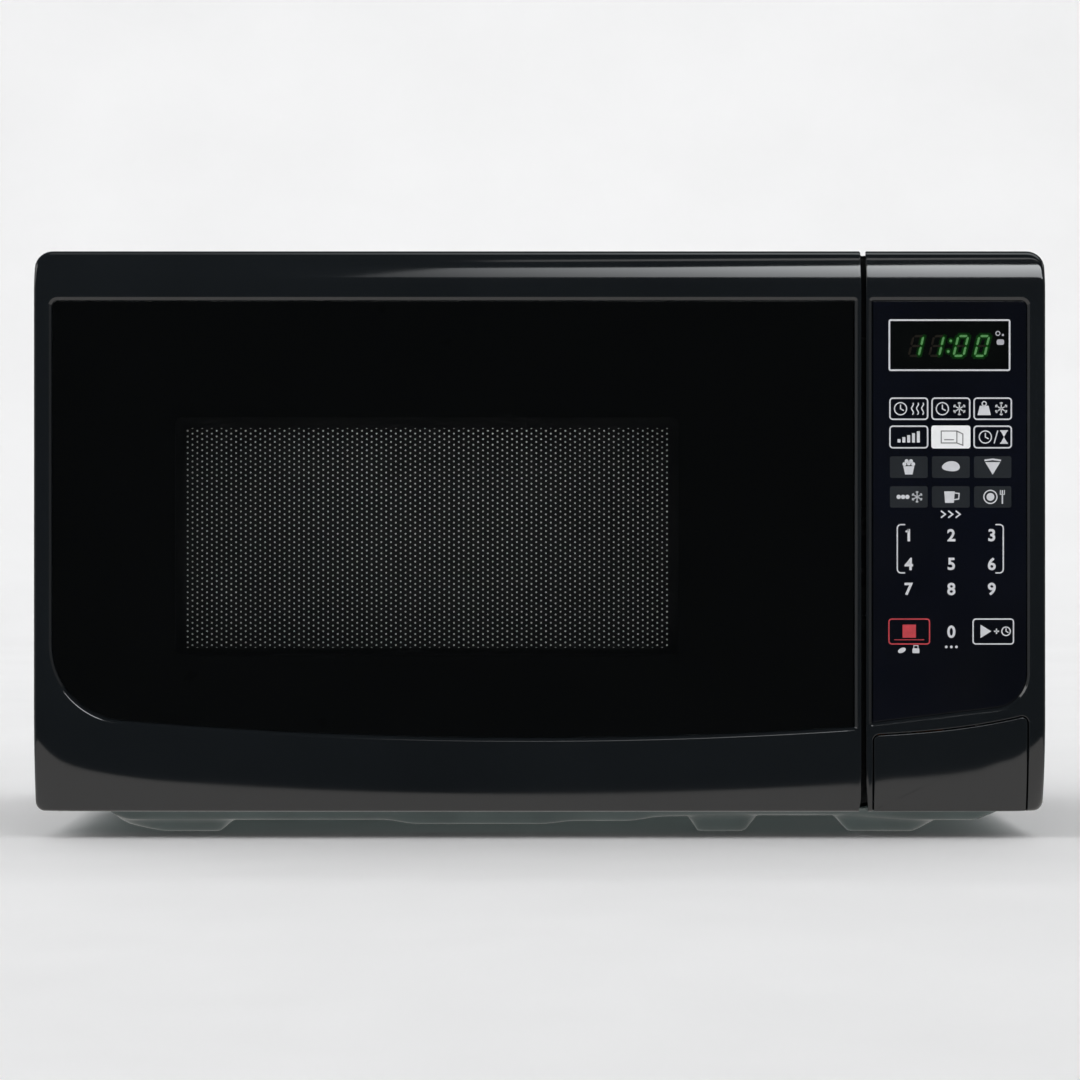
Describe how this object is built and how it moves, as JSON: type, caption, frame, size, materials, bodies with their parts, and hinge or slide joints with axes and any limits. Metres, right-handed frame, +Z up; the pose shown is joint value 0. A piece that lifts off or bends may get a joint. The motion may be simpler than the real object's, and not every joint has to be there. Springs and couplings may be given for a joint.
{
  "type": "microwave oven",
  "caption": "Compact black countertop microwave oven with a swinging window door, keypad, push button door release and turntable.",
  "frame": {"origin": "on the ground under the centre of the oven's outer box", "axes": "+X to the oven's right seen from the front, +Y from the door towards the back, +Z up"},
  "size_m": [0.44, 0.33, 0.2565],
  "materials": {
    "bezel": "polished black moulding",
    "window": "black-backed clear plate with a see-through field",
    "keypad": "smooth dark navy film with white print",
    "display_lens": "smoked clear lens",
    "wrapper_paint": "fine textured black powder coat",
    "base_sheet": "grey coated steel sheet",
    "rear_sheet": "galvanised sheet",
    "enamel": "light grey speckled enamel",
    "steel": "plain steel",
    "screen_paint": "black painted perforated steel",
    "aluminium": "plain",
    "mica": "mica sheet",
    "black_plastic": "fine moulded grain",
    "white_plastic": "natural moulding",
    "tray_glass": "pressed clear glass",
    "lamp_glass": "clear bulb",
    "clear_film": "clear film",
    "core_steel": "varnished laminations",
    "copper": "enamelled copper wire",
    "board": "solder-masked board"
  },
  "bodies": {
    "cabinet": {"outer_wrapper": "wrapper_paint", "back_panel": "rear_sheet", "rear_screw_1": "steel", "rear_screw_2": "steel", "rear_screw_3": "steel", "rear_screw_4": "steel", "base_plate": "base_sheet", "front_plate": "enamel", "oven_cavity": "enamel", "waveguide_cover": "mica", "waveguide_duct": "steel", "magnetron_yoke": "steel", "magnetron_tube": "aluminium", "transformer_core": "core_steel", "primary_winding": "copper", "secondary_winding": "copper", "hv_capacitor": "aluminium", "capacitor_clamp": "steel", "hv_diode": "black_plastic", "fan_shroud": "black_plastic", "fan_motor": "steel", "air_duct": "black_plastic", "oven_lamp": "lamp_glass", "lamp_socket": "white_plastic", "noise_filter_board": "board", "line_fuse": "lamp_glass", "thermal_cutout": "black_plastic", "cord_gland": "black_plastic", "turntable_motor": "steel", "control_panel_frame": "bezel", "keypad_membrane": "keypad", "display_window": "display_lens", "display_module": "black_plastic", "control_board": "board", "latch_board": "white_plastic", "monitor_switch": "black_plastic", "primary_switch": "black_plastic", "secondary_switch": "black_plastic", "upper_hinge_bracket": "steel", "lower_hinge_bracket": "steel"},
    "door": {"door_bezel": "bezel", "door_window": "window", "door_screen": "screen_paint", "door_choke_cover": "black_plastic", "door_inner_film": "clear_film", "upper_hinge_pin": "steel", "lower_hinge_pin": "steel", "latch_spring": "steel"},
    "hooks": {"latch_hooks": "white_plastic"},
    "button": {"open_button": "bezel"},
    "lever": {"release_lever": "white_plastic"},
    "coupler": {"turntable_coupler": "white_plastic"},
    "tray": {"glass_tray": "tray_glass"},
    "ring": {"roller_ring": "white_plastic"},
    "ring_roller_1": {"roller_1": "white_plastic"},
    "ring_roller_2": {"roller_2": "white_plastic"},
    "ring_roller_3": {"roller_3": "white_plastic"},
    "fan": {"fan_blade": "white_plastic"}
  },
  "joints": [
    {"name": "door_hinge", "type": "hinge", "parent": "cabinet", "child": "door", "pos_m": [-0.213, -0.1374, 0.1339], "axis": [0, 0, -1], "range_deg": [0, 100]},
    {"name": "hook_slide", "type": "slide", "parent": "door", "child": "hooks", "axis": [0, 0, 1], "range_m": [0, 0.0041], "stiffness_N_per_m": 10, "springref_m": -0.02, "deforming": ["latch_spring"]},
    {"name": "button_tip", "type": "hinge", "parent": "cabinet", "child": "button", "pos_m": [0.17885, -0.1595, 0.016], "axis": [-1, 0, 0], "range_deg": [0, 7], "stiffness_Nm_per_rad": 1, "springref_deg": -6.88},
    {"name": "lever_turn", "type": "hinge", "parent": "cabinet", "child": "lever", "pos_m": [0.141, -0.124, 0.0605], "axis": [1, 0, 0], "range_deg": [0, 13]},
    {"name": "turntable_spin", "type": "hinge", "parent": "cabinet", "child": "coupler", "pos_m": [-0.047, 0.011, 0.0355], "axis": [0, 0, 1], "continuous": true},
    {"name": "tray_lift", "type": "slide", "parent": "coupler", "child": "tray", "axis": [0, 0, 1], "range_m": [0, 0.03]},
    {"name": "ring_spin", "type": "hinge", "parent": "cabinet", "child": "ring", "pos_m": [-0.047, 0.011, 0.0428], "axis": [0, 0, 1], "continuous": true},
    {"name": "roller_1_spin", "type": "hinge", "parent": "ring", "child": "ring_roller_1", "pos_m": [-0.047, 0.101, 0.0428], "axis": [0, 1, 0], "continuous": true},
    {"name": "roller_2_spin", "type": "hinge", "parent": "ring", "child": "ring_roller_2", "pos_m": [-0.12494, -0.034, 0.0428], "axis": [-0.866, -0.5, 0], "continuous": true},
    {"name": "roller_3_spin", "type": "hinge", "parent": "ring", "child": "ring_roller_3", "pos_m": [0.03094, -0.034, 0.0428], "axis": [0.866, -0.5, 0], "continuous": true},
    {"name": "fan_spin", "type": "hinge", "parent": "cabinet", "child": "fan", "pos_m": [0.162, 0.139, 0.1525], "axis": [0, 1, 0], "continuous": true}
  ],
  "couplings": [
    {"joint": "lever_turn", "follows": "button_tip", "ratio": 1.8286},
    {"joint": "hook_slide", "follows": "button_tip", "m_per_rad": 0.03274},
    {"joint": "ring_spin", "follows": "turntable_spin", "ratio": 0.5},
    {"joint": "roller_1_spin", "follows": "turntable_spin", "ratio": -6.4286},
    {"joint": "roller_2_spin", "follows": "turntable_spin", "ratio": -6.4286},
    {"joint": "roller_3_spin", "follows": "turntable_spin", "ratio": -6.4286}
  ]
}
